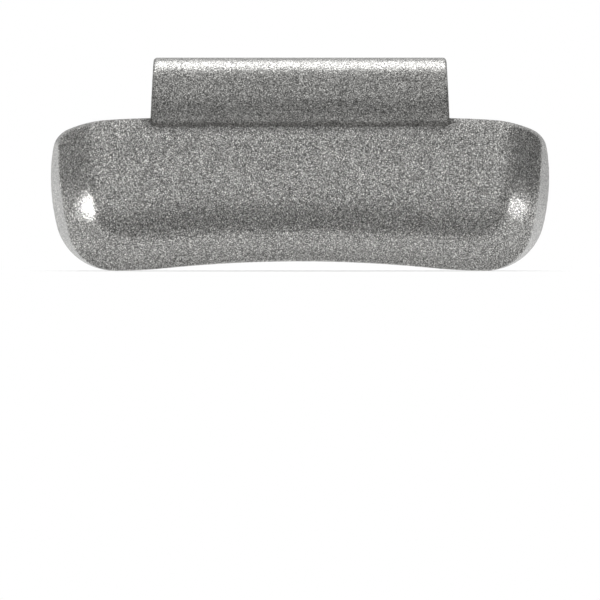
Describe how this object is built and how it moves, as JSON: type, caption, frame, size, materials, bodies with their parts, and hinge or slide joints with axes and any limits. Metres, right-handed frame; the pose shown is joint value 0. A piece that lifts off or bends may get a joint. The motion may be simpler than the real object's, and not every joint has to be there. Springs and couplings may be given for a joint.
{
  "type": "wheel balance weight",
  "caption": "Clip-on balance weight for a car wheel: a bevelled, rim-curved cast block with a sprung steel hook that grips the rim's lip, coated in hammered silver.",
  "frame": {"origin": "middle of the overall box at the level of the two feet", "axes": "+X along the rim, +Y from the weight's front face to the rim, +Z outwards from the wheel's axle, towards the clip's crest"},
  "size_m": [0.0654, 0.0166, 0.0278],
  "materials": {
    "coated_casting": "hammered silver-grey coating with fine metallic speckle over cast zinc alloy",
    "coated_strip": "the same hammered silver-grey coating over bent spring steel"
  },
  "bodies": {
    "root": {"weight_body": "coated_casting", "rim_clip": "coated_strip"}
  },
  "joints": []
}
